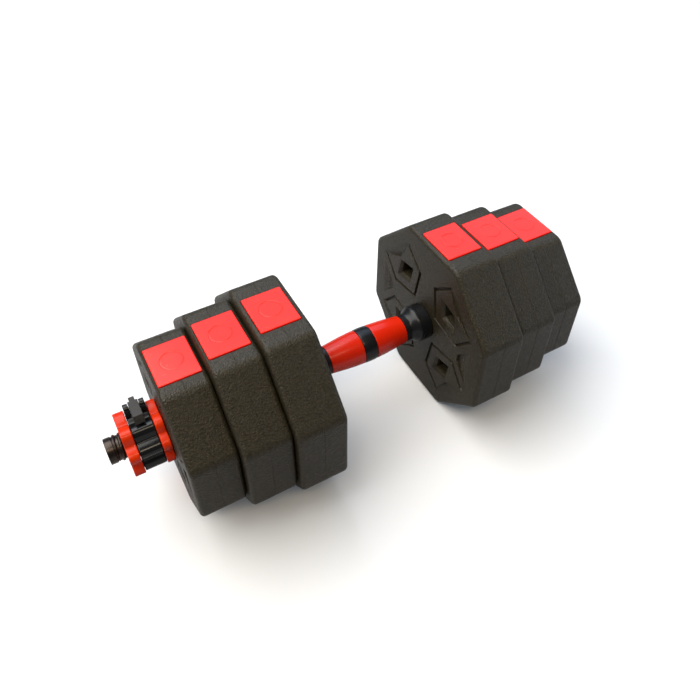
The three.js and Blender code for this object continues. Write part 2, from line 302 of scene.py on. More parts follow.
class Paint:
    """A procedural material: a Principled shader, and noises placed by the piece's own coordinates."""

    def __init__(self, name, **inputs):
        self.material = bpy.data.materials.new(name)
        self.material.use_nodes = True
        self.nodes = self.material.node_tree.nodes
        self.links = self.material.node_tree.links
        self.shader = self.nodes["Principled BSDF"]
        self.coordinates = self.nodes.new("ShaderNodeTexCoord").outputs["Object"]
        for socket, value in inputs.items():
            self.shader.inputs[socket.replace("_", " ")].default_value = value
        self.normal = None

    def noise(self, scale, detail=2.0, roughness=0.5, stretch=(1, 1, 1)):
        mapping = self.nodes.new("ShaderNodeMapping")
        mapping.inputs["Scale"].default_value = stretch
        self.links.new(self.coordinates, mapping.inputs["Vector"])
        node = self.nodes.new("ShaderNodeTexNoise")
        node.inputs["Scale"].default_value = scale
        node.inputs["Detail"].default_value = detail
        node.inputs["Roughness"].default_value = roughness
        self.links.new(mapping.outputs["Vector"], node.inputs["Vector"])
        return node.outputs["Fac"]

    def cells(self, scale):
        node = self.nodes.new("ShaderNodeTexVoronoi")
        node.feature = "SMOOTH_F1"
        node.inputs["Scale"].default_value = scale
        node.inputs["Smoothness"].default_value = 0.45
        self.links.new(self.coordinates, node.inputs["Vector"])
        return node.outputs["Distance"]

    def ramp(self, value, low, high, stops=(0.3, 0.7)):
        """Runs a noise between two numbers or two colours."""
        if isinstance(low, tuple):
            node = self.nodes.new("ShaderNodeValToRGB")
            for element, place, colour in zip(node.color_ramp.elements, stops, (low, high)):
                element.position = place
                element.color = (*colour, 1)
            self.links.new(value, node.inputs["Fac"])
            return node.outputs["Color"]
        node = self.nodes.new("ShaderNodeMapRange")
        for socket, number in zip(("From Min", "From Max", "To Min", "To Max"), (*stops, low, high)):
            node.inputs[socket].default_value = number
        self.links.new(value, node.inputs["Value"])
        return node.outputs["Result"]

    def colour(self, value, low, high, stops=(0.3, 0.7)):
        self.links.new(self.ramp(value, low, high, stops), self.shader.inputs["Base Color"])

    def roughness(self, value, low, high, stops=(0.3, 0.7)):
        self.links.new(self.ramp(value, low, high, stops), self.shader.inputs["Roughness"])

    def bump(self, value, height, strength=1.0):
        """Adds a bump of that height, in metres, over the ones added before."""
        node = self.nodes.new("ShaderNodeBump")
        node.inputs["Distance"].default_value = height
        node.inputs["Strength"].default_value = strength
        self.links.new(value, node.inputs["Height"])
        if self.normal:
            self.links.new(self.normal, node.inputs["Normal"])
        self.normal = node.outputs["Normal"]
        self.links.new(self.normal, self.shader.inputs["Normal"])


def moulded(name, low, high, rough, **inputs):
    """Smooth moulded plastic: slight drift of colour, scuffs in the gloss and a faint orange peel."""
    paint = Paint(name, **inputs)
    paint.colour(paint.noise(18, 3), low, high)
    paint.roughness(paint.noise(140, 5, 0.65, (1, 2.2, 1)), *rough)
    paint.bump(paint.noise(420, 2), 0.00002, 0.5)
    return paint.material


GRAIN_COLOURS = ((0.009, 0.0068, 0.0028), (0.031, 0.0245, 0.0125))


def plate_grain():
    paint = Paint("plate_grain", Specular_IOR_Level=0.25)
    paint.colour(paint.noise(620, 4, 0.7), *GRAIN_COLOURS, (0.36, 0.64))
    paint.roughness(paint.noise(500, 3), 0.32, 0.54)
    paint.bump(paint.noise(700, 2, 0.6), 0.0002, 0.7)
    paint.bump(paint.cells(780), 0.0005, 0.9)
    return paint.material


def plate_rim():
    paint = Paint("plate_rim", Specular_IOR_Level=0.25)
    paint.colour(paint.noise(620, 4, 0.7), *GRAIN_COLOURS, (0.36, 0.64))
    paint.roughness(paint.noise(420, 4, 0.6), 0.3, 0.5)
    paint.bump(paint.cells(820), 0.00035, 0.8)
    paint.bump(paint.noise(1100, 2), 0.0002, 0.7)
    return paint.material


def brushed(name, low, high, rough, stretch, metallic=0.92):
    paint = Paint(name, Metallic=metallic)
    paint.colour(paint.noise(60, 4), low, high)
    paint.roughness(paint.noise(260, 5, 0.7, stretch), *rough)
    paint.bump(paint.noise(900, 2, 0.6, stretch), 0.00003, 0.5)
    return paint.material


def filling():
    paint = Paint("filling", Roughness=0.92)
    paint.colour(paint.noise(260, 6, 0.7), (0.16, 0.15, 0.13), (0.36, 0.34, 0.3))
    paint.bump(paint.noise(500, 6, 0.7), 0.0006)
    return paint.material


def rubber():
    paint = Paint("washer_rubber")
    paint.colour(paint.noise(120, 3), (0.009, 0.009, 0.009), (0.016, 0.016, 0.015))
    paint.roughness(paint.noise(400, 3), 0.7, 0.9)
    paint.bump(paint.noise(1200, 2), 0.00008)
    return paint.material


PLATE_GRAIN = plate_grain()
PLATE_RIM = plate_rim()
# Smooth, glossier moulding for the sunk faces and the edge fillets. Its base is darker than the grain's: a
# real smooth finish, with painted shade in the pockets and in the gaps between plates.
PLATE_SMOOTH_PAINTED_SHADE = moulded("plate_smooth_painted_shade", (0.01, 0.0085, 0.005), (0.016, 0.0135, 0.0085), (0.24, 0.4),
                       Specular_IOR_Level=0.28)
FILLING = filling()
INSERT_RED = moulded("insert_red", (0.74, 0.014, 0.006), (0.82, 0.02, 0.009), (0.2, 0.28),
                     Specular_IOR_Level=0.24)
DISC_RED = moulded("disc_red", (0.48, 0.018, 0.001), (0.56, 0.025, 0.001), (0.3, 0.4),
                   Specular_IOR_Level=0.1, Coat_Weight=0.16, Coat_Roughness=0.05)
GRIP_RED = moulded("grip_red", (0.5, 0.011, 0.001), (0.54, 0.014, 0.001), (0.22, 0.28),
                   Specular_IOR_Level=0.28)
GRIP_BLACK = moulded("grip_black", (0.004, 0.004, 0.0045), (0.007, 0.007, 0.008), (0.26, 0.36),
                     Specular_IOR_Level=0.24)
NUT_BLACK = moulded("nut_black", (0.004, 0.004, 0.0042), (0.007, 0.007, 0.0075), (0.12, 0.2),
                    Specular_IOR_Level=0.24)
BAR_STEEL = brushed("bar_steel", (0.018, 0.013, 0.011), (0.042, 0.032, 0.027), (0.22, 0.38), (4, 1, 1), 0.8)
PIN_STEEL = brushed("pin_steel", (0.2, 0.2, 0.2), (0.32, 0.32, 0.32), (0.25, 0.42), (1, 3, 3))
SCREW_STEEL = brushed("screw_steel", (0.02, 0.02, 0.02), (0.05, 0.05, 0.05), (0.25, 0.42), (1, 3, 3), 0.6)
LATCH_STEEL = moulded("latch_steel", (0.005, 0.0048, 0.0045), (0.014, 0.013, 0.012), (0.2, 0.36),
                      Specular_IOR_Level=0.2)
WASHER_RUBBER = rubber()

# ---------------------------------------------------------------- plates

CORNER_RADIUS, CORNER_STEPS = 12, 8
FACE_EDGE = 4  # fillet between a plate's faces and its rim
BORE_RADIUS = 12.9
SCALE_FLATS = 159  # the face relief is drawn for this size and grows with the plate
GROOVE_DEPTH = 2.4
RAMP_TOP, RAMP_APEX = 67.0, 58.0
POCKET = [(-23.5, RAMP_TOP), (23.5, RAMP_TOP), (26, 40.5), (0, 29.5), (-26, 40.5)]
PLATEAU = [(-20.6, 63.2), (0, RAMP_APEX - 0.7), (20.6, 63.2), (22.4, 42.4), (0, 33.2), (-22.4, 42.4)]
RAMP = [(-22.6, RAMP_TOP - 0.6), (22.6, RAMP_TOP - 0.6), (20.0, 64.4), (0, RAMP_APEX), (-20.0, 64.4)]
POCKET_CORNER, PLATEAU_CORNER = 1.2, 1.0
FLOOR_INSET = 0.75  # from an outline to the foot of its wall
FLOOR_REACH, PLATEAU_REACH = RAMP_TOP - 1.6, 62.6  # how far out the level floor runs along each wall
APEX_SHIFT = {"inner": 9.4, "middle": 5.5, "outer": 0}  # how much nearer the bore the inner corner is
INNER_CORNERS = 50  # corners nearer the bore than this move with the innermost one
NEIGHBOUR_SHARE = 0.22
WINDOW_CENTRE = 44.2
WINDOW_OUTER = (16.7, 11.0)
WINDOW_INNER = (11.0, 8.0)
WINDOW_BEVEL, WINDOW_DEPTH = 2.5, 13.5
NOTCH_TOP, NOTCH_FOOT, NOTCH_CORNER = 63.5, 49, 0.8
NOTCH = [(-19.5, NOTCH_TOP), (19.5, NOTCH_TOP), (4, NOTCH_FOOT), (-4, NOTCH_FOOT)]
RIBS = (-8, -4, 0, 4, 8)
RIB_FOOT, RIB_TOP = 55.2, 58.4
RIB_HALF, RIB_HEIGHT, RIB_DRAFT = 0.7, 0.45, 0.2
PARTING = ((0, -0.45), (0.28, -0.12), (0.28, 0.12), (0, 0.45))  # (depth, x) over the parting line


def octagon(flats):
    reach = flats / 2 / math.cos(math.pi / 8)
    turn = [math.pi / 8 + math.pi / 4 * i for i in range(8)]
    return rounded([(reach * math.cos(a), reach * math.sin(a)) for a in turn], CORNER_RADIUS, CORNER_STEPS)


def ramp_depth(point, top, bottom):
    """Depth of a floor that slopes from the face at radius top to full depth at radius bottom."""
    return GROOVE_DEPTH * min(1, max(0, (top - point[1]) / (top - bottom)))


def stretched(corners, shift):
    """The corners with the innermost one moved towards the bore, and its neighbours a little."""
    innermost = min(r for _, r in corners)
    moved = []
    for across, r in corners:
        share = NEIGHBOUR_SHARE if r < INNER_CORNERS else 0
        moved.append((across, r - shift * (1 if r == innermost else share)))
    return moved


def open_run(outline, keep):
    """The points of a closed outline that are kept, in order from the end of the gap."""
    start = next(i for i, p in enumerate(outline) if keep(p) and not keep(outline[i - 1]))
    return [p for p in outline[start:] + outline[:start] if keep(p)]


def pocket_loops(shift):
    """One five-sided pocket around a plateau, with a ramp on its outer side, in (across, radius)."""
    pocket = rounded(stretched(POCKET, shift), POCKET_CORNER)
    plateau = rounded(stretched(PLATEAU, shift), PLATEAU_CORNER)
    outer = open_run(offset(pocket, -FLOOR_INSET), lambda p: p[1] < FLOOR_REACH)
    inner = open_run(offset(plateau, FLOOR_INSET), lambda p: p[1] < PLATEAU_REACH and not on_v(p))
    floor = at_depth(outer + inner[::-1], GROOVE_DEPTH)
    ramp = [(*p, ramp_depth(p, RAMP_TOP, RAMP_APEX)) for p in RAMP]
    return [*lip_loops(pocket, -1), floor, ramp, *lip_loops(plateau, 1)]


def on_v(point):
    """Whether a point is on the plateau's V-shaped side, which stands over the ramp."""
    return point[1] > RAMP_APEX - 2 + abs(point[0]) * 0.29 and abs(point[0]) < 20.5


def window_loops():
    def diamond(across, radial, depth):
        corners = [(across, 0), (0, radial), (-across, 0), (0, -radial)]
        return [(a, WINDOW_CENTRE + r, depth) for a, r in rounded(corners, 0.8, 2)]

    (wide, high), (narrow, low) = WINDOW_OUTER, WINDOW_INNER
    return [
        diamond(wide, high, 0), diamond(wide - 0.5, high - 0.33, 0.12),
        diamond(narrow + 0.4, low + 0.3, WINDOW_BEVEL - 0.3), diamond(narrow, low, WINDOW_BEVEL),
        diamond(narrow - 0.3, low - 0.2, WINDOW_BEVEL + 0.6),
        diamond(narrow - 0.8, low - 0.6, WINDOW_DEPTH),
    ]


def notch_loops():
    """A three-cornered recess whose floor slopes inward, with plain ribs on the floor."""
    def floor(point):
        return ramp_depth(point, NOTCH_TOP, NOTCH_FOOT)

    loops = [
        [(a, r, min(depth, floor((a, r)))) for a, r, depth in loop]
        for loop in wall(rounded(NOTCH, NOTCH_CORNER), GROOVE_DEPTH)
    ]
    for across in RIBS:
        left, right = across - RIB_HALF, across + RIB_HALF
        corners = [(left, RIB_FOOT), (right, RIB_FOOT), (right, RIB_TOP), (left, RIB_TOP)]
        loops.append([(*p, floor(p)) for p in corners])
        loops.append([(*p, floor(p) - RIB_HEIGHT) for p in offset(corners, -RIB_DRAFT)])
    return loops


def turned_loops(loops, degrees, scale):
    """Loops of (across, radius, depth) laid out around the bar, clockwise from the top."""
    angle = math.radians(degrees)
    c, s = math.cos(angle) * scale, math.sin(angle) * scale
    return [[(a * c + r * s, -a * s + r * c, depth) for a, r, depth in loop] for loop in loops]


def plate_mesh(size):
    """A plate's shell: relief on both faces, filleted edges, a parting line and two insert recesses."""
    x0, x1 = span(f"plate_right_{size}_shell")
    bottom, top = span(f"plate_right_{size}_shell", 2)
    flats = top - bottom
    scale = flats / SCALE_FLATS
    relief = []
    for degrees in (45, 135, 225, 315):
        relief += turned_loops(pocket_loops(APEX_SHIFT[size]) + window_loops(), degrees, scale)
    for degrees in (90, 270):
        relief += turned_loops(notch_loops(), degrees, scale)
    middle = (x0 + x1) / 2
    parting = [(depth, middle + along) for depth, along in PARTING]
    shell = slab(
        f"plate_{size}", octagon(flats), x0, x1, FACE_EDGE, [circle(BORE_RADIUS, 64)], 1.0,
        # The sunk faces and the edge fillets take the darker smooth material, which paints shade into the
        # pockets and into the gaps between plates.
        middle=parting, loops=relief, x0_loops=relief, kinds=(1, 2, 0, 2),
    )
    return combined(shell, *[("DIFFERENCE", recess_tool(size, which)) for which in ("top", "bottom")])


RECESS_CLEARANCE = 0.45
RECESS_FLOOR = 0.25  # below the foot of the insert
RECESS_FLARE, RECESS_CORNER = 0.35, 1.5
INSERT_EDGE, INSERT_CORNER = 0.9, 1.2
RING_RADIUS = 9.6  # a shallow groove in the middle of each insert
RING_GROOVE = ((0.8, 0), (0.4, 0.3), (-0.4, 0.3), (-0.8, 0.08))  # (radius from the ring, depth)


def insert_box(size, which):
    node = f"plate_right_{size}_insert_{which}"
    return span(node, 0), span(node, 1), span(node, 2)


def recess_tool(size, which):
    """A rounded block, flared at its mouth, that cuts the recess of one insert."""
    (x0, x1), (u0, u1), (v0, v1) = insert_box(size, which)
    facet = max(span(f"plate_right_{size}_shell", 2))
    sign = 1 if which == "top" else -1
    foot = min(abs(v0), abs(v1)) - RECESS_FLOOR
    corners = [(x0, u0), (x1, u0), (x1, u1), (x0, u1)]
    outline = offset(rounded(corners, RECESS_CORNER), RECESS_CLEARANCE)
    levels = [(0, foot), (0, facet - RECESS_FLARE), (RECESS_FLARE, facet), (RECESS_FLARE, facet + 2)]
    surface = Surface()
    rows = [[(x, u, sign * v) for x, u in offset(outline, grow)] for grow, v in levels]
    surface.rows(rows)
    surface.mesh.faces.new([surface.mesh.verts.new(p) for p in rows[0]])
    surface.mesh.faces.new([surface.mesh.verts.new(p) for p in rows[-1]])
    return surface.done("recess")


def insert_mesh(size, which):
    """A red rim insert with rounded edges and a shallow round groove."""
    (x0, x1), (u0, u1), (v0, v1) = insert_box(size, which)
    middle = ((x0 + x1) / 2, (u0 + u1) / 2)
    outline = rounded([(x0, u0), (x1, u0), (x1, u1), (x0, u1)], INSERT_CORNER)
    outline = [(a - middle[0], b - middle[1]) for a, b in outline]
    ring = [at_depth(circle(RING_RADIUS + away), depth) for away, depth in RING_GROOVE]
    foot, top = sorted((abs(v0), abs(v1)))
    mesh = slab("insert", outline, foot, top, INSERT_EDGE, loops=ring)
    # The slab stands along x, so it is stood up along v and moved over the plate.
    sign = 1 if which == "top" else -1
    mesh.transform(Matrix(((0, 1, 0, middle[0]), (0, 0, sign, middle[1]), (sign, 0, 0, 0), (0, 0, 0, 1))))
    return mesh


def plates():
    for size in SIZES:
        shell = plate_mesh(size)
        inserts = {which: insert_mesh(size, which) for which in ("top", "bottom")}
        for side in SIDES:
            plate = f"plate_{side}_{size}"
            piece(f"{plate}_moulding", shell, (PLATE_GRAIN, PLATE_RIM, PLATE_SMOOTH_PAINTED_SHADE), plate,
                  [f"{plate}_shell"], END[side])
            for which, mesh in inserts.items():
                piece(f"{plate}_red_{which}", mesh, (INSERT_RED,), plate,
                      [f"{plate}_insert_{which}"], END[side])
            core = frame["nodes"][f"{plate}_core"]
            core.data.materials.clear()
            core.data.materials.append(FILLING)


# ---------------------------------------------------------------- bar and grip

THREAD_PITCH = 5.0
THREAD_DEPTH = 1.15
THREAD_STEPS = 10  # rows of points for each turn
THREAD_LEAD_OUT = 7.5  # smooth nose on the end of the bar
RING_POINTS = 48
BAR_END = BAR_HIGH.x / MM
CREST = (BAR_HIGH.z - BAR_LOW.z) / 2 / MM
CORE_RADIUS = 11.2


def thread_radius(x, turn):
    """Radius of the rolled thread at a place along the bar and a share of a turn."""
    phase = abs((x / THREAD_PITCH - turn) % 1 - 0.5)
    flank = min(1, max(0, (0.33 - phase) / 0.2))
    return CREST - THREAD_DEPTH * (1 - flank * flank * (3 - 2 * flank))


def bar_mesh():
    start = span("stop_flange_right")[1] + 0.4
    stop = BAR_END - THREAD_LEAD_OUT
    count = round((stop - start) / THREAD_PITCH * THREAD_STEPS)
    nose = [
        (stop + 0.3, CREST - 1.3), (stop + 0.7, CREST - 1.3), (stop + 1.0, CREST - 0.6),
        (stop + 1.3, CREST - 0.4), (BAR_END - 0.7, CREST - 0.4), (BAR_END - 0.2, CREST - 0.65),
        (BAR_END, CREST - 1.2), (BAR_END, CREST - 8.5), (BAR_END - 0.5, CREST - 9.2), (BAR_END - 0.5, 0.02),
    ]
    turns = [i / RING_POINTS for i in range(RING_POINTS)]

    def ring(x, radius_at):
        return [
            (x, radius_at(x, t) * math.sin(2 * math.pi * t), radius_at(x, t) * math.cos(2 * math.pi * t))
            for t in turns
        ]

    rows = [ring(0, lambda x, t: CORE_RADIUS), ring(start - 0.5, lambda x, t: CORE_RADIUS)]
    rows += [ring(start + (stop - start) * i / count, thread_radius) for i in range(count + 1)]
    rows += [ring(x, lambda x, t, r=r: r) for x, r in nose]
    surface = Surface()
    surface.rows(rows)
    surface.rows([[(-x, -u, v) for x, u, v in row] for row in rows])
    return surface.done("bar")


def smooth_radius(x, radii, start, stop):
    """Runs smoothly through radii that are spread evenly from start to stop."""
    place = (x - start) / (stop - start) * (len(radii) - 1)
    i = min(int(place), len(radii) - 2)
    before, here, after, far = (radii[min(max(k, 0), len(radii) - 1)] for k in range(i - 1, i + 3))
    t = place - i
    return here + 0.5 * t * (after - before + t * (2 * before - 5 * here + 4 * after - far
                                                   + t * (3 * (here - after) + far - before)))


GRIP_BORE = CORE_RADIUS + 0.3
GRIP_SEGMENTS = 72
SLEEVE_RADII = (17.3, 16.9, 16.2, 15.2, 14.3)  # from the band to the neck
BAND_EDGE, BAND_SHOULDER, BAND_CROWN = 16.8, 17.0, 17.6
NECK_RADIUS, DRUM_RADIUS = 14.0, 19.0


def sleeve_mesh():
    """A crowned sleeve that tapers from the band to the neck."""
    x0, x1 = span("grip_sleeve_right")
    outside = [(x0, 16.8), (x0 + 0.2, 17.1)]
    outside += [(x, smooth_radius(x, SLEEVE_RADII, x0, x1)) for x in angles(x0 + 0.6, x1 - 0.5, 14)]
    outside += [(x1 - 0.15, 14.15), (x1, 13.8)]
    return turned("sleeve", [(x0, GRIP_BORE), *outside, (x1, GRIP_BORE)], GRIP_SEGMENTS)


def band_mesh():
    """The ring in the middle of the grip, a little proud of the sleeves."""
    half = span("grip_band")[1]
    rise = BAND_CROWN - BAND_SHOULDER
    turns = angles(0.15, math.pi - 0.15, 12)
    crown = [(half * math.cos(a), BAND_SHOULDER + rise * math.sin(a)) for a in turns]
    profile = [(half, GRIP_BORE), (half, BAND_EDGE), *crown, (-half, BAND_EDGE), (-half, GRIP_BORE)]
    return turned("band", profile, GRIP_SEGMENTS)


def stop_mesh():
    """Black neck, flare and drum between the grip and the inner plate."""
    x0, x1 = span("stop_flange_right")
    rise = DRUM_RADIUS - NECK_RADIUS
    flare = [(x0 + 5 + 10 * t, NECK_RADIUS + rise * (3 * t * t - 2 * t ** 3)) for t in angles(0, 1, 10)]
    profile = [
        (x0, GRIP_BORE), (x0, NECK_RADIUS - 0.4), (x0 + 0.4, NECK_RADIUS), *flare,
        (x0 + 15.6, DRUM_RADIUS), (x0 + 15.9, DRUM_RADIUS - 0.5),
        (x0 + 16.5, DRUM_RADIUS - 0.5), (x0 + 16.8, DRUM_RADIUS),
        (x1 - 1.2, DRUM_RADIUS), (x1 - 0.4, DRUM_RADIUS - 0.4), (x1, DRUM_RADIUS - 1.2), (x1, GRIP_BORE),
    ]
    return turned("stop", profile, GRIP_SEGMENTS)


def handle():
    either_way = END["right"]
    piece("bar_threaded", bar_mesh(), (BAR_STEEL,), "handle", ["bar"], either_way)
    piece("grip_band_gloss", band_mesh(), (GRIP_BLACK,), "handle", ["grip_band"], either_way)
    sleeve, stop = sleeve_mesh(), stop_mesh()
    for side in SIDES:
        piece(f"grip_sleeve_gloss_{side}", sleeve, (GRIP_RED,), "handle",
              [f"grip_sleeve_{side}"], END[side])
        piece(f"stop_flange_gloss_{side}", stop, (GRIP_BLACK,), "handle",
              [f"stop_flange_{side}"], END[side])


# ---------------------------------------------------------------- split nuts

GAP = 0.3
SEAM = GAP / 2
LOBES = {"fixed": 4, "swing": 3}
DISC_TIP, DISC_VALLEY, DISC_EDGE = 29.8, 24.6, 0.8
BODY_TIP, BODY_VALLEY, BODY_EDGE = 28.3, 23.4, 0.9
NUT_BORE, SLEEVE_RADIUS = 12.9, 14.5
SLEEVE_REAR, SLEEVE_FRONT = 4.5, 9.0  # how far the sleeve runs into the discs
HINGE_AXIS, HINGE_PIN, HINGE_HOLE = (0, -27), 1.7, 2.0
KNUCKLE, KNUCKLE_LENGTH = 4.0, 4.4
LATCH_PIVOT, LATCH_PIN, LATCH_HOLE = (-11, 31.5), 1.5, 1.8
EAR_RADIUS, EAR_LENGTH = 4.2, 4.5
LATCH_PLATE, LATCH_STEM, LATCH_TAIL = 8.6, 7.6, 5.0  # widths along the bar
LATCH_BARREL = 3.3
SCREW_CIRCLE, SCREW_HOLE, SCREW_HEAD, SCREW_SHANK = 23.4, 2.7, 2.3, 1.6
SCREW_HEAD_HEIGHT, SCREW_SOCKET = 2.5, 1.25
SCREW_DEGREES = (22.5, 67.5, 112.5, 157.5)
WASHER_RADIUS, WASHER_BORE = 19.0, 13.1
JAWS = ("fixed", "swing")
TOOL_EDGE = 0.05  # edge radius of pieces that only cut or fill


def lobed_half(jaw, tip, valley, bore):
    """Outline of one half of the nut: lobes outside, the bore inside, flat on the seam."""
    sign = 1 if jaw == "fixed" else -1

    def rim(degrees):
        wave = (1 - math.cos(math.radians(2 * LOBES[jaw] * degrees))) / 2
        r = valley + (tip - valley) * wave ** 0.7
        return sign * r * math.sin(math.radians(degrees)), r * math.cos(math.radians(degrees))

    flat = math.degrees(math.asin(SEAM / valley))
    inner = math.degrees(math.asin(SEAM / bore))
    outside = [rim(degrees) for degrees in angles(flat, 180 - flat, 90)]
    hole = [
        (sign * bore * math.sin(math.radians(d)), bore * math.cos(math.radians(d)))
        for d in angles(180 - inner, inner, 40)
    ]
    return outside + hole


def screw_centres():
    turn = [math.radians(degrees) for degrees in SCREW_DEGREES]
    return [(SCREW_CIRCLE * math.sin(a), SCREW_CIRCLE * math.cos(a)) for a in turn]


def disc_mesh(jaw, which):
    """A red disc's half. The front one has deep screw holes; the rear one takes the washer."""
    x0, x1 = span(f"collar_right_{jaw}_{which}_disc")
    outline = lobed_half(jaw, DISC_TIP, DISC_VALLEY, SLEEVE_RADIUS + GAP)
    if which == "front":
        holes = [circle(SCREW_HOLE, 24, c) for c in screw_centres()] if jaw == "fixed" else []
        return slab("front_disc", outline, x0, x1, DISC_EDGE, holes, 0.4)
    disc = slab("rear_disc", outline, x0, x1, DISC_EDGE)
    washer = span("collar_right_washer")
    pocket = rod("pocket", x0 - 2, washer[1] + GAP, WASHER_RADIUS + GAP, points=64)
    return combined(disc, ("DIFFERENCE", pocket))


def sleeve_half(jaw, x0, x1):
    """The black ring round the bore, which shows inside the discs."""
    sign = 1 if jaw == "fixed" else -1
    outer = math.degrees(math.asin(SEAM / SLEEVE_RADIUS))
    inner = math.degrees(math.asin(SEAM / NUT_BORE))
    arcs = [(SLEEVE_RADIUS, angles(outer, 180 - outer, 40)), (NUT_BORE, angles(180 - inner, inner, 40))]
    outline = [
        (sign * r * math.sin(math.radians(degrees)), r * math.cos(math.radians(degrees)))
        for r, turn in arcs for degrees in turn
    ]
    return slab("sleeve_half", outline, x0, x1, 0.4)


def body_range():
    """Along x, the space between the discs."""
    return span("collar_right_fixed_rear_disc")[1] + GAP, span("collar_right_fixed_front_disc")[0] - GAP


def knuckle_ranges():
    """Along x, the fixed jaw's two outer knuckles and the swing jaw's one between them."""
    x0, x1 = body_range()
    return {
        "fixed": [(x0 + 0.2, x0 + KNUCKLE_LENGTH), (x1 - KNUCKLE_LENGTH, x1 - 0.2)],
        "swing": [(x0 + KNUCKLE_LENGTH + GAP, x1 - KNUCKLE_LENGTH - GAP)],
    }


def body_mesh(jaw):
    """The black half nut between the discs, with its hinge knuckles, and the latch's ears on one."""
    x0, x1 = body_range()
    sign = 1 if jaw == "fixed" else -1

    def hole(radius, centre):
        return "DIFFERENCE", rod("hole", x0 - 1, x1 + 1, radius, centre, TOOL_EDGE)

    body = slab("body", lobed_half(jaw, BODY_TIP, BODY_VALLEY, NUT_BORE), x0, x1, BODY_EDGE)
    web = [(sign * SEAM, -27), (sign * 6, -25), (sign * 6, -19), (sign * SEAM, -19)]
    steps = [
        ("UNION", sleeve_half(jaw, x0 - SLEEVE_REAR, x1 + SLEEVE_FRONT)),
        ("UNION", slab("web", web, x0, x1, TOOL_EDGE)),
    ]
    ranges = knuckle_ranges()
    for start, stop in ranges["swing" if jaw == "fixed" else "fixed"]:
        clear = rod("clear", start - GAP, stop + GAP, KNUCKLE + GAP, HINGE_AXIS, 0.1)
        steps.append(("DIFFERENCE", clear))
    for start, stop in ranges[jaw]:
        steps.append(("UNION", rod("knuckle", start, stop, KNUCKLE, HINGE_AXIS, 0.3)))
    if jaw == "swing":
        steps += [("UNION", ear) for ear in ear_meshes()]
        steps.append(hole(LATCH_HOLE, LATCH_PIVOT))
    else:
        steps += [hole(SCREW_SHANK + GAP, centre) for centre in screw_centres()]
    steps.append(hole(HINGE_HOLE, HINGE_AXIS))
    return combined(body, *steps)


def ear_meshes():
    """Two lugs on the swinging half that hold the latch's pin."""
    x0, x1 = body_range()
    pu, pv = LATCH_PIVOT
    crown = [(pu + EAR_RADIUS * math.cos(a), pv + EAR_RADIUS * math.sin(a)) for a in angles(0, math.pi, 12)]
    outline = [*crown, (pu - 7, pv - 9.5), (pu + 7, pv - 8.5)]
    starts = (x0 + 0.2, x1 - 0.2 - EAR_LENGTH)
    return [slab("ear", outline, start, start + EAR_LENGTH, 0.5) for start in starts]


def latch_mesh():
    """The lever: a bent plate over the seam, a stem down to the pin and a narrow thumb tail."""
    x0, x1 = body_range()
    middle = (x0 + x1) / 2
    plate = [(-12, 38.2), (-12, 35.6), (-7, 34), (2.2, 32.7), (6.7, 29.1), (9, 29.9), (3.3, 34.9)]
    tail = [(-15.4, 38.9), (-16, 37.8), (-13.2, 34.8), (-8, 34.4), (-8, 37.3)]
    stem = [(-14.2, 31.5), (-7.8, 31.5), (-6.4, 35), (-13, 36)]

    def bar(points, width, radius):
        return slab("lever", rounded(points, radius), middle - width / 2, middle + width / 2, 0.3)

    def along_pin(half, radius, edge):
        return rod("along_pin", middle - half, middle + half, radius, LATCH_PIVOT, edge)

    return combined(
        bar(plate, LATCH_PLATE, 0.45),
        ("UNION", bar(tail, LATCH_TAIL, 0.5)),
        ("UNION", bar(stem, LATCH_STEM, 0.4)),
        ("UNION", along_pin(LATCH_STEM / 2, LATCH_BARREL, 0.4)),
        ("DIFFERENCE", along_pin(LATCH_STEM, LATCH_HOLE, TOOL_EDGE)),
    )


def screw_mesh():
    """A cap screw at the bar's axis, to be moved to its place: shank, head and hexagon socket."""
    tip, top = span("collar_right_screw_1")
    neck = top - SCREW_HEAD_HEIGHT
    hexagon = circle(SCREW_SOCKET, 6)
    socket = [at_depth(offset(hexagon, -away), depth) for away, depth in ((0, 0), (0.08, 0.1), (0.12, 1.4))]
    head = slab("head", circle(SCREW_HEAD, 24), neck, top, 0.35, loops=socket)
    return combined(head, ("UNION", rod("shank", tip, neck + 0.5, SCREW_SHANK, edge=0.3)))


def washer_mesh():
    x0, x1 = span("collar_right_washer")
    return slab("washer", circle(WASHER_RADIUS, 64), x0, x1, 0.4, [circle(WASHER_BORE)], 0.3)


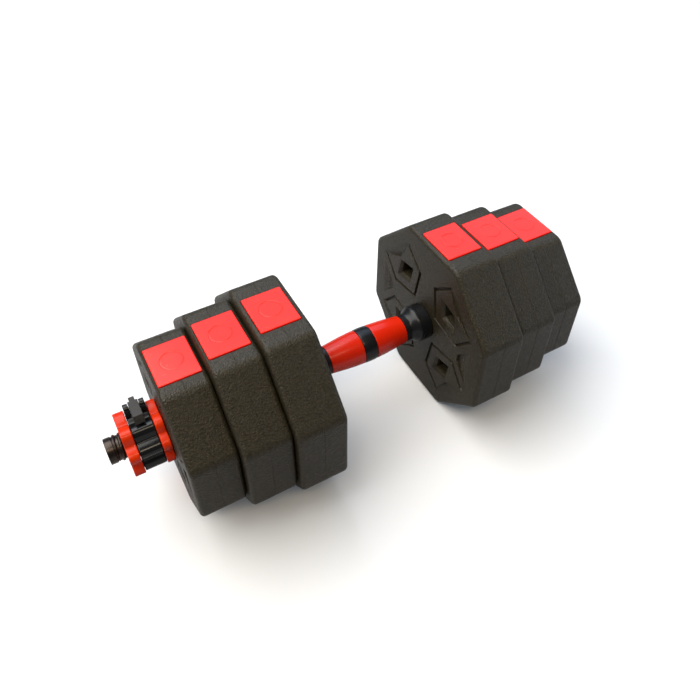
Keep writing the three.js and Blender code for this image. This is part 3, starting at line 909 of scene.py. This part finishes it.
def collars():
    x0, x1 = body_range()
    discs = {(jaw, which): disc_mesh(jaw, which) for jaw in JAWS for which in ("rear", "front")}
    bodies = {jaw: body_mesh(jaw) for jaw in JAWS}
    latch, screw, washer = latch_mesh(), screw_mesh(), washer_mesh()
    pins = {
        "hinge_pin": ("fixed_jaw", rod("pin", x0 + 0.4, x1 - 0.4, HINGE_PIN, HINGE_AXIS, 0.4)),
        "latch_pin": ("swing_jaw", rod("pin", x0 + 0.4, x1 - 0.4, LATCH_PIN, LATCH_PIVOT, 0.4)),
    }
    for side in SIDES:
        collar = f"collar_{side}"
        place = END[side]
        for (jaw, which), mesh in discs.items():
            piece(f"{collar}_{jaw}_{which}_red", mesh, (DISC_RED,), f"{collar}_{jaw}_jaw",
                  [f"{collar}_{jaw}_{which}_disc"], place)
        for jaw, mesh in bodies.items():
            piece(f"{collar}_{jaw}_half_nut", mesh, (NUT_BLACK,), f"{collar}_{jaw}_jaw",
                  [f"{collar}_{jaw}_body"], place)
        for name, (rides_on, mesh) in pins.items():
            piece(f"{collar}_{name}_steel", mesh, (PIN_STEEL,), f"{collar}_{rides_on}",
                  [f"{collar}_{name}"], place)
        for index, (u, v) in enumerate(screw_centres(), start=1):
            piece(f"{collar}_cap_screw_{index}", screw, (SCREW_STEEL,), f"{collar}_fixed_jaw",
                  [f"{collar}_screw_{index}"], place @ Matrix.Translation((0, u, v)))
        piece(f"{collar}_latch_bent", latch, (LATCH_STEEL,), f"{collar}_latch",
              [f"{collar}_latch_lever"], place)
        piece(f"{collar}_washer_soft", washer, (WASHER_RUBBER,), f"{collar}_washer_ring",
              [f"{collar}_washer"], place)


# ---------------------------------------------------------------- studio

CAMERA_PLACE = (-0.2339, -0.3853, 0.6034)
CAMERA_VIEW = (0.3496, 0.619, -0.7033)
CAMERA_UP = (0.3409, 0.6152, 0.7109)
CAMERA_LENS, SENSOR = 35.14, 36.0
CAMERA_SHIFT_Y = -0.0714


def camera():
    data = bpy.data.cameras.new("camera")
    data.sensor_width = SENSOR
    data.lens = CAMERA_LENS
    data.shift_y = CAMERA_SHIFT_Y
    back = -Vector(CAMERA_VIEW).normalized()
    right = Vector(CAMERA_UP).cross(back).normalized()
    up = back.cross(right)
    rotation = Matrix((right, up, back)).transposed().to_4x4()
    shown = bpy.data.objects.new("camera", data)
    shown.matrix_world = Matrix.Translation(CAMERA_PLACE) @ rotation
    bpy.context.scene.collection.objects.link(shown)
    bpy.context.scene.camera = shown


def floor():
    """A pale floor that fades into the white backdrop, so that it has no horizon."""
    reach, solid, gone = 2.6, 0.8, 2.08
    mesh = bpy.data.meshes.new("floor")
    corners = [(-reach, -reach, 0), (reach, -reach, 0), (reach, reach, 0), (-reach, reach, 0)]
    mesh.from_pydata(corners, [], [(0, 1, 2, 3)])
    plain = bpy.data.materials.new("floor")
    plain.use_nodes = True
    nodes, links = plain.node_tree.nodes, plain.node_tree.links
    shader = nodes["Principled BSDF"]
    shader.inputs["Roughness"].default_value = 0.9
    path = nodes.new("ShaderNodeLightPath")
    tone = nodes.new("ShaderNodeMapRange")  # bright to look at, dimmer as bounce light and in reflections
    tone.inputs["To Min"].default_value = 0.4
    tone.inputs["To Max"].default_value = 0.68
    links.new(path.outputs["Is Camera Ray"], tone.inputs["Value"])
    links.new(tone.outputs["Result"], shader.inputs["Base Color"])
    place = nodes.new("ShaderNodeTexCoord").outputs["Object"]
    distance = nodes.new("ShaderNodeVectorMath")
    distance.operation = "LENGTH"
    fade = nodes.new("ShaderNodeMapRange")
    fade.interpolation_type = "SMOOTHSTEP"
    for socket, number in zip(("From Min", "From Max", "To Min", "To Max"), (solid, gone, 1, 0)):
        fade.inputs[socket].default_value = number
    links.new(place, distance.inputs[0])
    links.new(distance.outputs["Value"], fade.inputs["Value"])
    links.new(fade.outputs["Result"], shader.inputs["Alpha"])
    mesh.materials.append(plain)
    shown = bpy.data.objects.new("floor", mesh)
    bpy.context.scene.collection.objects.link(shown)


def softbox(name, place, size, power, colour=(1, 1, 1)):
    """A large soft area light that faces the object."""
    data = bpy.data.lights.new(name, "AREA")
    data.shape = "RECTANGLE"
    data.size, data.size_y = size
    data.energy = power
    data.color = colour
    shown = bpy.data.objects.new(name, data)
    aim = Vector((0, 0, AXIS_HEIGHT)) - Vector(place)
    shown.matrix_world = Matrix.Translation(place) @ aim.to_track_quat("-Z", "Y").to_matrix().to_4x4()
    shown.visible_camera = False
    bpy.context.scene.collection.objects.link(shown)


def world():
    """A dim room that gives the object little light, behind a backdrop that is white to look at."""
    made = bpy.data.worlds.new("studio")
    made.use_nodes = True
    nodes, links = made.node_tree.nodes, made.node_tree.links
    room = nodes["Background"]
    room.inputs["Color"].default_value = (0.93, 0.95, 1, 1)
    room.inputs["Strength"].default_value = 0.1
    backdrop = nodes.new("ShaderNodeBackground")
    backdrop.inputs["Color"].default_value = (1, 1, 1, 1)
    path = nodes.new("ShaderNodeLightPath")
    mix = nodes.new("ShaderNodeMixShader")
    links.new(path.outputs["Is Camera Ray"], mix.inputs[0])
    links.new(room.outputs["Background"], mix.inputs[1])
    links.new(backdrop.outputs["Background"], mix.inputs[2])
    links.new(mix.outputs["Shader"], nodes["World Output"].inputs["Surface"])
    bpy.context.scene.world = made


def studio():
    camera()
    floor()
    world()
    softbox("light_top", (-0.9, 0.6, 2.2), (2.8, 2.0), 112, (1, 0.985, 0.96))
    softbox("light_back", (0.7, 1.25, 1.45), (2.4, 1.3), 23, (0.58, 0.75, 1))
    softbox("light_warm", (-0.4, -1.0, 1.95), (1.1, 0.3), 13, (1, 0.84, 0.6))
    softbox("light_front", (1.5, -1.0, 0.62), (0.7, 0.5), 9, (0.7, 0.83, 1))
    softbox("light_right", (2.3, 0.3, 0.9), (1.4, 0.9), 12, (0.9, 0.95, 1))
    softbox("light_left", (-2.3, -0.5, 0.9), (1.4, 0.9), 6, (0.9, 0.95, 1))
    bpy.context.scene.view_settings.view_transform = "Standard"


studio()
handle()
plates()
collars()
